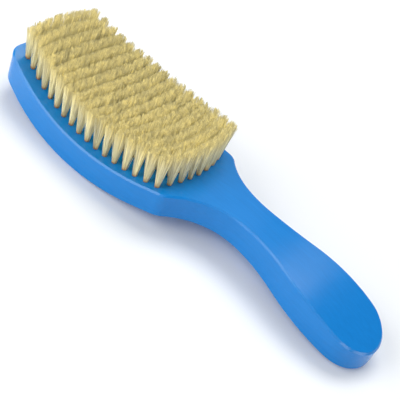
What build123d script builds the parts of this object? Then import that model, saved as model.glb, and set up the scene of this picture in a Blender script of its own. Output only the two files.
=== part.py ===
from build123d import *
import math
import os

# Fade brush: a one-piece curved block with a drilled head and a club handle.
#
# Rows of bristle tufts stand in blind holes drilled in the face of the head.  Each tuft is a
# bundle folded in two over a flat metal anchor, which holds it at the bottom of its hole.
#
# Millimetres.  The brush lies on its back, bristles up, on the plane z = 0.  x runs from the tip
# of the head to the end of the handle and y across.  Every "AT" is measured from the tip, and the
# finished pieces are moved so that the origin is under the middle of the brush.

# ---------------------------------------------------------------- block, seen from above
LENGTH = 215.0
HEAD_WIDTH = 65.8
HEAD_WIDEST_AT = 57.0
TIP_WIDTH = 48.6               # between the two tip corners, before they are rounded
TIP_BOW = 0.6                  # how far the blunt tip stands out past those corners
TIP_CORNER_RADIUS = 9.8
SHOULDER_AT = 107.4            # where the side of the head turns in to the neck
SHOULDER_RADIUS = 8.0
NECK_WIDTH = 19.8
NECK_SHARE = 0.307             # of the way from the shoulder to the end of the handle
HANDLE_WIDTH = 33.0
HANDLE_WIDEST_FROM_END = 22.6
END_ROUNDNESS = 0.98           # radius of the end, to half the width of the handle

# ---------------------------------------------------------------- block, seen from the side
HEAD_REST_AT = 57.3            # where the underside of the head lies on the table
BACK_HOLLOW_RADIUS = 176.0
ARCH_SHARE = 0.257             # top of the arch under the neck, as NECK_SHARE
ARCH_HEIGHT = 8.9              # underside of the neck above the table
FACE_LOW_AT = 60.6
HEAD_THICKNESS = 14.5          # table to face, at the lowest point of the face
FACE_HOLLOW_RADIUS = 182.5
CREST_SHARE = 0.334            # top of the face over the neck, as NECK_SHARE
CREST_HEIGHT = 23.1            # table to face, there
RAMP_LENGTH = 16.3             # straight stretch of the face at the tip

FACE_EDGE_BEVEL = 0.8
BACK_EDGE_BEVEL = 1.2
BOARD_ALLOWANCE = 5.0          # spare wood all round, before the outlines are cut

# ---------------------------------------------------------------- tufts
ROWS = 17
FIRST_ROW_AT = 8.5             # to the outer tufts of the row
ROW_PITCH = 5.76
TUFT_PITCH = 6.1               # along a row, about
FIELD_WIDTH = 53.3             # between the outer tufts of the widest row
FIELD_WIDEST_AT = 64.6
FIRST_ROW_WIDTH = 38.1
LAST_ROW_WIDTH = 46.5
FIRST_ROW_BOW = 2.2            # its middle stands this far out towards the tip
LAST_ROW_BOW = 4.95            # and this one towards the handle
FIRST_ROW_LEAN = -0.2          # degrees from upright, towards the tip
LAST_ROW_LEAN = 4.8
BRISTLE_HEIGHT = 17.1          # face to trimmed tips
HOLE_DIAMETER = 2.2
HOLE_DEPTH = 8.0
HOLE_SIDES = 6                 # the round hole is drawn with this many flats round it
ROOT_CLEARANCE = 0.08          # between the root of a tuft and the wall of its hole
ROOT_SINK = 0.3                # top of the root below the face
LEG_GAP = 0.2                  # between the two legs of the folded bundle, where they leave the root
LEG_TIP_GAP = 1.7
LEG_GROWTH = 2.1               # size of a leg at its tip, to its size at the root

# ---------------------------------------------------------------- anchors
ANCHOR_THICKNESS = 0.4
ANCHOR_HEIGHT = 1.6
ANCHOR_CLEARANCE = 0.05        # to the fold on each side, and to the wall at each end


def behind_shoulder(share):
    """That share of the way from the shoulder to the end of the handle."""
    return SHOULDER_AT + share * (LENGTH - SHOULDER_AT)


def fall(radius, run):
    """How far a circle falls away from its tangent, that far along it."""
    return radius - math.sqrt(radius**2 - run**2)


class Wave:
    """A hollow arc through its low point that turns into a crown arc over its crest.

    Both are level at those points and they meet in line, so the crown's radius follows.
    """

    def __init__(self, low, hollow_radius, crest):
        run = crest[0] - low[0]
        rise = crest[1] - low[1]
        both_radii = (run**2 + rise**2) / (2 * rise)
        self.low = low
        self.crest = crest
        self.hollow_radius = hollow_radius
        self.crown_radius = both_radii - hollow_radius
        self.turn_at = low[0] + run * hollow_radius / both_radii

    def height(self, x):
        if x < self.turn_at:
            return self.low[1] + fall(self.hollow_radius, x - self.low[0])
        return self.crest[1] - fall(self.crown_radius, x - self.crest[0])

    def point(self, x):
        return (x, self.height(x))

    def arc(self, start, end):
        """The stretch between two x, on one of the two arcs."""
        return ThreePointArc(self.point(start), self.point((start + end) / 2), self.point(end))


ARCH = (behind_shoulder(ARCH_SHARE), ARCH_HEIGHT)
CREST = (behind_shoulder(CREST_SHARE), CREST_HEIGHT)
BACK = Wave((HEAD_REST_AT, 0), BACK_HOLLOW_RADIUS, ARCH)
FACE = Wave((FACE_LOW_AT, HEAD_THICKNESS), FACE_HOLLOW_RADIUS, CREST)


def ramp_slope():
    run = RAMP_LENGTH - FACE_LOW_AT
    return run / math.sqrt(FACE_HOLLOW_RADIUS**2 - run**2)


def face_height(x):
    """Height of the face over the table: a straight ramp at the tip, then the wave."""
    if x < RAMP_LENGTH:
        return FACE.height(RAMP_LENGTH) + ramp_slope() * (x - RAMP_LENGTH)
    return FACE.height(x)


def swell(start, end):
    """Two equal arcs, in line with x at both points, that turn over halfway."""
    middle = (start + end) / 2
    return [
        TangentArc(start, middle, tangent=(1, 0)),
        TangentArc(end, middle, tangent=(-1, 0)),
    ]


def across(point):
    """The same point on the other side of the middle line."""
    return Vector(point.X, -point.Y)


def round_end(handle):
    """Where the round end of the handle meets the side arc through its widest point, in line."""
    radius = END_ROUNDNESS * handle.Y
    middle = Vector(LENGTH - radius, 0)
    run = middle.X - handle.X
    side_radius = (run**2 + handle.Y**2 - radius**2) / (2 * (handle.Y - radius))
    side_middle = handle - Vector(0, side_radius)
    return middle + (middle - side_middle).normalized() * radius


def plan_outline():
    """The block seen from above: arcs down each side, with the corners rounded last."""
    tip_corner = Vector(TIP_BOW, TIP_WIDTH / 2)
    widest = Vector(HEAD_WIDEST_AT, HEAD_WIDTH / 2)
    side_run = widest.X - tip_corner.X
    side_rise = widest.Y - tip_corner.Y
    side_radius = (side_run**2 + side_rise**2) / (2 * side_rise)
    shoulder = Vector(SHOULDER_AT, widest.Y - fall(side_radius, SHOULDER_AT - HEAD_WIDEST_AT))
    neck = Vector(behind_shoulder(NECK_SHARE), NECK_WIDTH / 2)
    handle = Vector(LENGTH - HANDLE_WIDEST_FROM_END, HANDLE_WIDTH / 2)
    end_meets_side = round_end(handle)

    side = [
        ThreePointArc(tip_corner, widest, shoulder),
        TangentArc(neck, shoulder, tangent=(-1, 0)),
        *swell(neck, handle),
        TangentArc(handle, end_meets_side, tangent=(1, 0)),
    ]
    ends = [
        ThreePointArc(across(tip_corner), (0, 0), tip_corner),
        ThreePointArc(across(end_meets_side), (LENGTH, 0), end_meets_side),
    ]
    outline = make_face(side + [mirror(arc, about=Plane.XZ) for arc in side] + ends)
    for corner, radius in ((tip_corner, TIP_CORNER_RADIUS), (shoulder, SHOULDER_RADIUS)):
        for place in (corner, across(corner)):
            outline = fillet(outline.vertices().sort_by_distance(place)[0], radius)
    return outline


def back_curves(start, stop):
    """The underside, from the tip: hollow, arch, then straight down to where the end rests."""
    crown_middle = Vector(*ARCH) - Vector(0, BACK.crown_radius)
    rest = Vector(LENGTH - BACK_EDGE_BEVEL, 0)
    reach = rest - crown_middle
    turn = math.degrees(math.acos(BACK.crown_radius / reach.length))
    leave = crown_middle + reach.normalized().rotate(Axis.Z, turn) * BACK.crown_radius
    slope = (rest.Y - leave.Y) / (rest.X - leave.X)
    return [
        BACK.arc(start, BACK.turn_at),
        BACK.arc(BACK.turn_at, leave.X),
        Line(leave, (stop, slope * (stop - rest.X))),
    ]


def side_outline():
    """The block seen from the side, run on past both ends for the plan to cut off."""
    start = -BOARD_ALLOWANCE
    stop = LENGTH + BOARD_ALLOWANCE
    back = back_curves(start, stop)
    face = [
        Line((start, face_height(start)), FACE.point(RAMP_LENGTH)),
        FACE.arc(RAMP_LENGTH, FACE.turn_at),
        FACE.arc(FACE.turn_at, stop),
    ]
    before_tip = Line(back[0] @ 0, face[0] @ 0)
    past_end = Line(back[-1] @ 1, face[-1] @ 1)
    return make_face(back + face + [before_tip, past_end])


def plain_block():
    """The block before drilling: both outlines cut from one board, and its edges eased."""
    plan = extrude(Pos(0, 0, -BOARD_ALLOWANCE) * plan_outline(), CREST_HEIGHT + 2 * BOARD_ALLOWANCE)
    half_width = HEAD_WIDTH / 2 + BOARD_ALLOWANCE
    profile = extrude(Plane.XZ.offset(-half_width) * side_outline(), 2 * half_width)
    block = plan & profile
    for bevel, upper in ((BACK_EDGE_BEVEL, False), (FACE_EDGE_BEVEL, True)):
        block = chamfer(rim(block, upper), bevel)
    return block


def rim(block, upper):
    """The curved edges round the face, or round the back: all others run straight."""
    curved = block.edges().filter_by(lambda edge: edge.geom_type != GeomType.LINE)
    return curved.filter_by(lambda edge: (edge.center().Z > middle_height(edge.center().X)) == upper)


def middle_height(x):
    return (face_height(x) + BACK.height(min(x, ARCH[0]))) / 2


def tuft_places(row):
    """Where the tufts of one row stand: points of the face, and their lean."""
    share = row / (ROWS - 1)
    row_at = FIRST_ROW_AT + ROW_PITCH * row
    width = row_width(row_at)
    bow = (LAST_ROW_BOW + FIRST_ROW_BOW) * share - FIRST_ROW_BOW
    lean = (LAST_ROW_LEAN - FIRST_ROW_LEAN) * share + FIRST_ROW_LEAN
    steps = round(width / TUFT_PITCH)
    places = []
    for step in range(steps + 1):
        side = 2 * step / steps - 1
        x = row_at + bow * (1 - side**2)
        places.append(Pos(x, side * width / 2, face_height(x)) * Rot(0, -lean, 0))
    return places


def row_width(x):
    """Between the outer tufts of the row at x: a parabola each side of the widest row."""
    last_row_at = FIRST_ROW_AT + ROW_PITCH * (ROWS - 1)
    if x < FIELD_WIDEST_AT:
        end_at, end_width = FIRST_ROW_AT, FIRST_ROW_WIDTH
    else:
        end_at, end_width = last_row_at, LAST_ROW_WIDTH
    share = (x - FIELD_WIDEST_AT) / (end_at - FIELD_WIDEST_AT)
    return FIELD_WIDTH - (FIELD_WIDTH - end_width) * share**2


def prism(radius, bottom, top):
    """An upright prism with the sides of a hole."""
    section = RegularPolygon(radius, HOLE_SIDES, major_radius=False)
    return extrude(Pos(0, 0, bottom) * section, top - bottom)


def hole_tool():
    """What the drill takes out, from the bottom of a hole to well clear of the face."""
    return prism(HOLE_DIAMETER / 2, -HOLE_DEPTH, HOLE_DIAMETER)


def leg_ring(height, growth, gap):
    """Corners of one leg at a height: half of the root's section, grown and moved out."""
    corner_angle = math.pi / HOLE_SIDES
    flat = HOLE_DIAMETER / 2 - ROOT_CLEARANCE
    corner = flat / math.cos(corner_angle)
    inner_half_width = growth * (corner - math.tan(corner_angle) * LEG_GAP / 2)
    outer_half_width = growth * corner / 2
    inner = gap / 2
    outer = inner + growth * (flat - LEG_GAP / 2)
    return [
        Vector(inner_half_width, inner, height),
        Vector(outer_half_width, outer, height),
        Vector(-outer_half_width, outer, height),
        Vector(-inner_half_width, inner, height),
    ]


def leg():
    """One leg of the folded bundle, widening from the root to its trimmed tip."""
    foot = leg_ring(-ROOT_SINK, 1, LEG_GAP)
    tip = leg_ring(BRISTLE_HEIGHT, LEG_GROWTH, LEG_TIP_GAP)
    faces = [make_face(Polyline(ring, close=True)) for ring in (foot, tip)]
    for corner in range(len(foot)):
        previous = corner - 1
        side = Polyline(foot[previous], foot[corner], tip[corner], tip[previous], close=True)
        faces.append(make_face(side))
    return Solid(Shell(faces))


def tuft():
    """The root that fills the hole, folded over the anchor, with its two legs fused to it."""
    root = prism(HOLE_DIAMETER / 2 - ROOT_CLEARANCE, -HOLE_DEPTH, -ROOT_SINK)
    fold = Box(2 * HOLE_DIAMETER, ANCHOR_THICKNESS + 2 * ANCHOR_CLEARANCE, ANCHOR_HEIGHT)
    root -= Pos(0, 0, ANCHOR_HEIGHT / 2 - HOLE_DEPTH) * fold
    return root.fuse(leg(), Rot(0, 0, 180) * leg())


def anchor():
    """The flat strip on edge across the bottom of a hole."""
    length = HOLE_DIAMETER - 2 * ANCHOR_CLEARANCE
    strip = Box(length, ANCHOR_THICKNESS, ANCHOR_HEIGHT)
    return Pos(0, 0, ANCHOR_HEIGHT / 2 - HOLE_DEPTH) * strip


rows = [tuft_places(row) for row in range(ROWS)]
every_place = [place for places in rows for place in places]
nodes = {"brush_block": plain_block().cut(*[place * hole_tool() for place in every_place])}
for number, places in enumerate(rows, start=1):
    nodes[f"tuft_row_{number:02d}"] = Compound([place * tuft() for place in places])
    nodes[f"anchor_row_{number:02d}"] = Compound([place * anchor() for place in places])

os.makedirs("parts", exist_ok=True)
for name, shape in nodes.items():
    export_step(Pos(-LENGTH / 2, 0, 0) * shape, f"parts/{name}.step")
print(len(every_place), "tufts,", 2 * len(every_place), "strands")
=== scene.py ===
import math
import bpy
import numpy as np
from mathutils import Matrix, Vector


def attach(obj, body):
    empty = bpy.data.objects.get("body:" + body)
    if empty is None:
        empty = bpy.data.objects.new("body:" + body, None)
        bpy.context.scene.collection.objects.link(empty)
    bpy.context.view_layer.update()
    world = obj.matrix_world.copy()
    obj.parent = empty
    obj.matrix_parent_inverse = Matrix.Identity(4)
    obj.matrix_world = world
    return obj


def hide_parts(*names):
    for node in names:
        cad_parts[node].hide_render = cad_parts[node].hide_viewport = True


# A fade brush on a white table.  The lacquered block and the anchors are the CAD nodes themselves,
# with better materials.  A bundle of single bristles in every hole replaces the drawn tufts.
#
# Metres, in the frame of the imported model: x from the tip of the head towards the handle, y across
# the brush and away from the camera, z up.

# ---------------------------------------------------------------- camera
CAMERA_AIM = (0.00044, 0.00915, 0.0)   # the point of the table in the middle of the picture
CAMERA_AZIMUTH = -23.32                # degrees; 0 looks along +y
CAMERA_ELEVATION = 40.15
CAMERA_ROLL = 25.72
CAMERA_DISTANCE = 0.39126
CAMERA_SENSOR = 36.0                   # millimetres, as the lens
CAMERA_LENS = 73.84

# ---------------------------------------------------------------- rows of tufts, as the CAD has them
ROWS = 17
FIRST_ROW_LEAN = -0.2                  # degrees from upright, towards the tip of the head
LAST_ROW_LEAN = 4.8
BRISTLE_HEIGHT = 0.0171                # face to trimmed tips
HOLE_DEPTH = 0.0080
ANCHOR_HEIGHT = 0.0016
ANCHOR_SPACE = 0.002                   # an anchor is thinner than this, and the next one further away

# ---------------------------------------------------------------- one tuft
BRISTLES_PER_TUFT = 220
LOCKS_PER_TUFT = 80                    # a lock is the few bristles that cling together
ROOT_RADIUS = 0.00095                  # of the bundle in its hole
ROOT_DEPTH = 0.001                     # how far below the face the bristles start
ROOT_SPREAD = 0.7                      # of the locks at the root, in root radii
ROOT_SCATTER = 0.35                    # of a bristle about its lock, in root radii
TIP_HALF_LENGTH = 0.0034               # of a tuft along its row, at the tips
TIP_HALF_WIDTH = 0.0025
TIP_SQUARENESS = 0.7                   # 0 for a round tuft at the tips, 1 for a square one
TIP_SCATTER = 0.00026                  # of a bristle about its lock
TUFT_SCATTER = 0.00012                 # of the tips of a whole tuft
BEND = 0.00016                         # of a bristle, sideways at half its height
CROWN = 0.0009                         # how much lower the long edges of a tuft end than its middle
TRIM_ERROR = 0.00045                   # the most that the trim leaves a bristle too long or short
TUFT_TRIM_ERROR = 0.00012              # scatter of the height of a whole tuft, and of a lock
LOCK_TRIM_ERROR = 0.00015
LOCK_SHADE = 0.7                       # share of a bristle's shade that its lock has in common
SEED = 7

# ---------------------------------------------------------------- one bristle
BRISTLE_RADII = (0.00009, 0.00008)     # where it starts, and at its tip
BRISTLE_RINGS = 5
BRISTLE_SIDES = 4

# ---------------------------------------------------------------- table and light
TABLE_WIDTH = 6.0
TABLE_LIGHTING = (0.86, 0.865, 0.88)   # its colour where it only lights the brush
TABLE_SEEN = (0.935, 0.945, 0.965)     # and where it is seen, straight or in a reflection
WORLD_COLOUR = (0.92, 0.96, 1.0)
WORLD_STRENGTH = 0.22
WHITE = (1.0, 1.0, 1.0)
LAMPS = (
    # name, place, (width, height), watts, colour
    ("key", (-0.16, 0.42, 0.90), (0.85, 0.52), 6.6, (0.97, 0.99, 1.0)),
    ("back_panel", (-0.42, 0.62, 0.67), (0.56, 0.65), 0.45, WHITE),
    ("softbox", (0.080, 0.77, 0.61), (0.20, 0.28), 0.13, WHITE),
    ("front_fill", (-0.60, -0.66, 0.43), (0.9, 0.9), 7.9, (1.0, 0.985, 0.945)),
    ("front_strip", (0.10, -0.68, 0.70), (1.5, 0.26), 1.25, WHITE),
    ("end_light", (0.76, -0.38, 0.46), (0.32, 0.26), 0.9, WHITE),
    ("end_fill", (0.92, 0.12, 0.20), (0.6, 0.22), 1.3, WHITE),
)


def add_object(name, data):
    thing = bpy.data.objects.new(name, data)
    bpy.context.scene.collection.objects.link(thing)
    return thing


def camera_matrix():
    azimuth, elevation = math.radians(CAMERA_AZIMUTH), math.radians(CAMERA_ELEVATION)
    roll = math.radians(CAMERA_ROLL)
    look = Vector((
        math.sin(azimuth) * math.cos(elevation),
        math.cos(azimuth) * math.cos(elevation),
        -math.sin(elevation),
    ))
    level = Vector((math.cos(azimuth), -math.sin(azimuth), 0))
    up = level.cross(look)
    right = math.cos(roll) * level + math.sin(roll) * up
    place = Vector(CAMERA_AIM) - CAMERA_DISTANCE * look
    turn = Matrix((right, right.cross(look), -look)).transposed()
    return Matrix.Translation(place) @ turn.to_4x4()


def add_camera():
    data = bpy.data.cameras.new("camera")
    data.lens = CAMERA_LENS
    data.sensor_width = CAMERA_SENSOR
    camera = add_object("camera", data)
    camera.matrix_world = camera_matrix()
    bpy.context.scene.camera = camera


def new_material(name):
    material = bpy.data.materials.new(name)
    material.use_nodes = True
    nodes = material.node_tree.nodes
    return material, nodes, material.node_tree.links, nodes["Principled BSDF"]


def stretched_noise(nodes, links, scale, detail, stretch=(1, 1, 1)):
    """Noise in the frame's own coordinates, drawn out along an axis where stretch is small."""
    place = nodes.new("ShaderNodeTexCoord")
    mapping = nodes.new("ShaderNodeMapping")
    noise = nodes.new("ShaderNodeTexNoise")
    mapping.inputs["Scale"].default_value = stretch
    noise.inputs["Scale"].default_value = scale
    noise.inputs["Detail"].default_value = detail
    links.new(place.outputs["Object"], mapping.inputs["Vector"])
    links.new(mapping.outputs["Vector"], noise.inputs["Vector"])
    return noise.outputs["Fac"]


def ramp(nodes, links, source, stops):
    """Colours along a value: (position, (r, g, b)) pairs."""
    node = nodes.new("ShaderNodeValToRGB")
    elements = node.color_ramp.elements
    while len(elements) < len(stops):
        elements.new(1)
    for element, (position, colour) in zip(elements, stops):
        element.position = position
        element.color = (*colour, 1)
    links.new(source, node.inputs["Fac"])
    return node.outputs["Color"]


def spread(nodes, links, source, low, high, start=0.3, end=0.7):
    """A value from start to end made one from low to high.  Noise lies mostly in 0.3 to 0.7."""
    node = nodes.new("ShaderNodeMapRange")
    node.inputs["From Min"].default_value = start
    node.inputs["From Max"].default_value = end
    node.inputs["To Min"].default_value = low
    node.inputs["To Max"].default_value = high
    links.new(source, node.inputs["Value"])
    return node.outputs["Result"]


def mix_shaders(nodes, links, first, second):
    """A mix of two shaders, whose Fac is left to be set or linked."""
    mix = nodes.new("ShaderNodeMixShader")
    links.new(first.outputs[0], mix.inputs[1])
    links.new(second.outputs[0], mix.inputs[2])
    return mix


def lacquer():
    """Blue lacquer over sanded wood: faint streaks along the grain under a satin coat."""
    material, nodes, links, shader = new_material("blue_lacquer")
    streaks = stretched_noise(nodes, links, scale=900, detail=4, stretch=(0.05, 1, 1))
    clouds = stretched_noise(nodes, links, scale=40, detail=3)
    colour = ramp(nodes, links, spread(nodes, links, streaks, low=0, high=1), (
        (0.0, (0.001, 0.200, 0.605)),
        (1.0, (0.002, 0.222, 0.655)),
    ))
    links.new(colour, shader.inputs["Base Color"])
    roughness = spread(nodes, links, clouds, low=0.15, high=0.22, start=0, end=1)
    links.new(roughness, shader.inputs["Roughness"])
    shader.inputs["Specular IOR Level"].default_value = 0.42
    bump = nodes.new("ShaderNodeBump")
    bump.inputs["Strength"].default_value = 0.06
    bump.inputs["Distance"].default_value = 0.0002
    links.new(streaks, bump.inputs["Height"])
    links.new(bump.outputs["Normal"], shader.inputs["Normal"])
    return material


def bristle():
    """Natural bristle: brown where it leaves the hole, cream along the shaft, darker straw at the
    tip, which is partly its own colour and partly painted shade on the tops of the tufts.

    Light comes through a bristle, and most of it passes on to the bristles behind.
    """
    material, nodes, links, shader = new_material("bristle")
    along = nodes.new("ShaderNodeAttribute")
    along.attribute_name = "along"
    colour = ramp(nodes, links, along.outputs["Fac"], (
        (0.0, (0.50, 0.24, 0.07)),
        (0.06, (0.72, 0.48, 0.20)),
        (0.12, (0.94, 0.86, 0.62)),
        (0.30, (0.96, 0.95, 0.80)),
        (0.70, (0.95, 0.925, 0.76)),
        # darker straw at the tip: partly the bristle's own colour, partly painted shade for the shade
        # among the tips
        (1.0, (0.84, 0.785, 0.51)),
    ))
    shade = nodes.new("ShaderNodeAttribute")
    shade.attribute_name = "shade"
    value = spread(nodes, links, shade.outputs["Fac"], low=0.56, high=1.15, start=0, end=1)
    tint = nodes.new("ShaderNodeHueSaturation")
    links.new(colour, tint.inputs["Color"])
    links.new(value, tint.inputs["Value"])
    links.new(tint.outputs["Color"], shader.inputs["Base Color"])
    shader.inputs["Roughness"].default_value = 0.35

    through = nodes.new("ShaderNodeBsdfTranslucent")
    links.new(tint.outputs["Color"], through.inputs["Color"])
    body = mix_shaders(nodes, links, shader, through)
    body.inputs["Fac"].default_value = 0.45

    clear = nodes.new("ShaderNodeBsdfTransparent")
    clear.inputs["Color"].default_value = (1.0, 0.975, 0.88, 1)
    ray = nodes.new("ShaderNodeLightPath")
    passed_on = nodes.new("ShaderNodeMath")
    passed_on.operation = "MULTIPLY"
    passed_on.inputs[1].default_value = 0.96
    links.new(ray.outputs["Is Shadow Ray"], passed_on.inputs[0])
    skin = mix_shaders(nodes, links, body, clear)
    links.new(passed_on.outputs["Value"], skin.inputs["Fac"])
    links.new(skin.outputs["Shader"], nodes["Material Output"].inputs["Surface"])
    return material


def steel():
    """Brushed steel, with its fine lines along the strip."""
    material, nodes, links, shader = new_material("anchor_steel")
    brushed = stretched_noise(nodes, links, scale=4000, detail=2, stretch=(1, 1, 8))
    roughness = spread(nodes, links, brushed, low=0.3, high=0.5)
    links.new(roughness, shader.inputs["Roughness"])
    shader.inputs["Base Color"].default_value = (0.6, 0.6, 0.58, 1)
    shader.inputs["Metallic"].default_value = 1
    return material


def table_white():
    """White that looks a little lighter, straight or in a reflection, than it lights the brush."""
    material, nodes, links, shader = new_material("white_table")
    ray = nodes.new("ShaderNodeLightPath")
    seen = ray.outputs["Is Camera Ray"]
    for kind in ("Is Glossy Ray", "Is Transmission Ray"):
        either = nodes.new("ShaderNodeMath")
        either.operation = "MAXIMUM"
        links.new(seen, either.inputs[0])
        links.new(ray.outputs[kind], either.inputs[1])
        seen = either.outputs["Value"]
    colour = ramp(nodes, links, seen, ((0.0, TABLE_LIGHTING), (1.0, TABLE_SEEN)))
    links.new(colour, shader.inputs["Base Color"])
    shader.inputs["Roughness"].default_value = 0.6
    shader.inputs["Specular IOR Level"].default_value = 0.2
    return material


def dress(node, material):
    node.data.materials.clear()
    node.data.materials.append(material)


def hole_places(anchors, lean):
    """Where the axis of each hole meets the face, from the middles of the anchors in one row."""
    corners = np.array([vertex.co for vertex in anchors.data.vertices])
    corners = corners[corners[:, 1].argsort()]
    next_anchor = np.flatnonzero(np.diff(corners[:, 1]) > ANCHOR_SPACE) + 1
    axis = np.array((-math.sin(lean), 0, math.cos(lean)))
    for anchor in np.split(corners, next_anchor):
        middle = (anchor.min(0) + anchor.max(0)) / 2
        yield middle + axis * (HOLE_DEPTH - ANCHOR_HEIGHT / 2)


def bristle_lines(place, lean, random):
    """Points along every bristle of one tuft, from inside the hole to the tip, and their shades."""
    locks, count = LOCKS_PER_TUFT, BRISTLES_PER_TUFT
    turn = random.uniform(0, 2 * math.pi, locks)
    reach = random.uniform(0, 1, locks)[:, None] ** 0.5
    lock = random.integers(0, locks, count)
    spoke = np.stack([np.cos(turn), np.sin(turn)], 1)
    disc = spoke * reach
    square = disc / np.abs(spoke).max(1, keepdims=True)

    tuft_shift = random.normal(0, TUFT_SCATTER, 2)
    tip = ((1 - TIP_SQUARENESS) * disc + TIP_SQUARENESS * square)[lock]
    tip *= (TIP_HALF_WIDTH, TIP_HALF_LENGTH)
    tip += random.normal(0, TIP_SCATTER, (count, 2)) + tuft_shift
    root = ROOT_SPREAD * disc[lock] + random.normal(0, ROOT_SCATTER, (count, 2))
    root /= np.maximum(np.hypot(root[:, 0], root[:, 1]), 1)[:, None]
    bend = random.normal(0, BEND, (count, 2))

    uneven = random.exponential(1, count).clip(0, 2) - 1   # -1 to 1, and mostly below 0
    height = BRISTLE_HEIGHT + TRIM_ERROR * uneven
    height += random.normal(0, TUFT_TRIM_ERROR)
    height += random.normal(0, LOCK_TRIM_ERROR, locks)[lock]
    height -= CROWN * (tip[:, 0] / TIP_HALF_WIDTH) ** 2

    lines = []
    for share in np.linspace(0, 1, BRISTLE_RINGS):
        plan = ROOT_RADIUS * root * (1 - share) + tip * share
        plan += bend * math.sin(math.pi * share)
        up = share * (height + ROOT_DEPTH) - ROOT_DEPTH
        x = plan[:, 0] - math.tan(lean) * up
        lines.append(np.stack([x, plan[:, 1], up], 1) + place)
    shade = LOCK_SHADE * random.uniform(0, 1, locks)[lock]
    shade += (1 - LOCK_SHADE) * random.uniform(0, 1, count)
    return np.stack(lines, 1), shade


def tube_mesh(name, lines, shade):
    """One mesh of thin tapered tubes along lines: an array of strands by rings by 3."""
    strands, rings, _ = lines.shape
    turn = 2 * math.pi * np.arange(BRISTLE_SIDES) / BRISTLE_SIDES
    around = np.stack([np.cos(turn), np.sin(turn), 0 * turn], 1)
    radius = np.linspace(*BRISTLE_RADII, rings)[:, None, None]
    points = lines[:, :, None] + radius * around
    first = BRISTLE_SIDES * np.arange(strands * rings).reshape(strands, rings, 1)
    side = np.arange(BRISTLE_SIDES)
    low, high = first[:, :-1] + side, first[:, 1:] + side
    next_low, next_high = np.roll(low, -1, 2), np.roll(high, -1, 2)
    walls = np.stack([low, next_low, next_high, high], 3).reshape(-1, 4)
    ends = np.concatenate([(first[:, 0] + side)[:, ::-1], first[:, -1] + side])
    mesh = bpy.data.meshes.new(name)
    mesh.from_pydata(points.reshape(-1, 3).tolist(), [], walls.tolist() + ends.tolist())
    shares = np.tile(np.repeat(np.linspace(0, 1, rings), BRISTLE_SIDES), strands)
    shades = np.repeat(shade, rings * BRISTLE_SIDES)
    for attribute, values in (("along", shares), ("shade", shades)):
        layer = mesh.attributes.new(attribute, "FLOAT", "POINT")
        layer.data.foreach_set("value", values.astype(np.float32))
    return mesh


def plant_row(number, frame, material, random):
    """The real tufts of one row, in place of its drawn ones."""
    anchors = frame["nodes"][f"anchor_row_{number:02d}"]
    share = (number - 1) / (ROWS - 1)
    lean = math.radians(FIRST_ROW_LEAN + (LAST_ROW_LEAN - FIRST_ROW_LEAN) * share)
    places = hole_places(anchors, lean)
    tufts = [bristle_lines(place, lean, random) for place in places]
    lines, shade = (np.concatenate(part) for part in zip(*tufts))
    mesh = tube_mesh(f"bristles_{number:02d}", lines, shade)
    mesh.materials.append(material)
    row = add_object(mesh.name, mesh)
    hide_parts(f"tuft_row_{number:02d}")
    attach(row, "root")


def add_table():
    half = TABLE_WIDTH / 2
    corners = [(-half, -half, 0), (half, -half, 0), (half, half, 0), (-half, half, 0)]
    mesh = bpy.data.meshes.new("table")
    mesh.from_pydata(corners, [], [(0, 1, 2, 3)])
    mesh.materials.append(table_white())
    add_object("table", mesh)


def add_area(name, place, size, power, colour):
    """A soft light of size (width, height), aimed at the origin."""
    data = bpy.data.lights.new(name, "AREA")
    data.shape = "RECTANGLE"
    data.size, data.size_y = size
    data.energy = power
    data.color = colour
    lamp = add_object(name, data)
    lamp.location = place
    lamp.rotation_euler = (-Vector(place)).to_track_quat("-Z", "Y").to_euler()


def add_world():
    world = bpy.data.worlds.new("studio")
    world.use_nodes = True
    background = world.node_tree.nodes["Background"]
    background.inputs["Color"].default_value = (*WORLD_COLOUR, 1)
    background.inputs["Strength"].default_value = WORLD_STRENGTH
    bpy.context.scene.world = world


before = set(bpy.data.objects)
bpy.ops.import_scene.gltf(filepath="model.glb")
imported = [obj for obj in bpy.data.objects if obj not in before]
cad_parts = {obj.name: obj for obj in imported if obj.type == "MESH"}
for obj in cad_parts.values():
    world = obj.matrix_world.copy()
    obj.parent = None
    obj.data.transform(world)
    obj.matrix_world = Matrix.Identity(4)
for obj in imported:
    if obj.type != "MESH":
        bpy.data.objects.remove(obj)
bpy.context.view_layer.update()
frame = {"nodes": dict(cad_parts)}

add_camera()
add_table()
add_world()
for lamp in LAMPS:
    add_area(*lamp)

dress(frame["nodes"]["brush_block"], lacquer())
metal = steel()
for name, node in frame["nodes"].items():
    if name.startswith("anchor_row"):
        dress(node, metal)
random = np.random.default_rng(SEED)
natural = bristle()
for number in range(1, ROWS + 1):
    plant_row(number, frame, natural, random)

bpy.context.scene.view_settings.view_transform = "Standard"
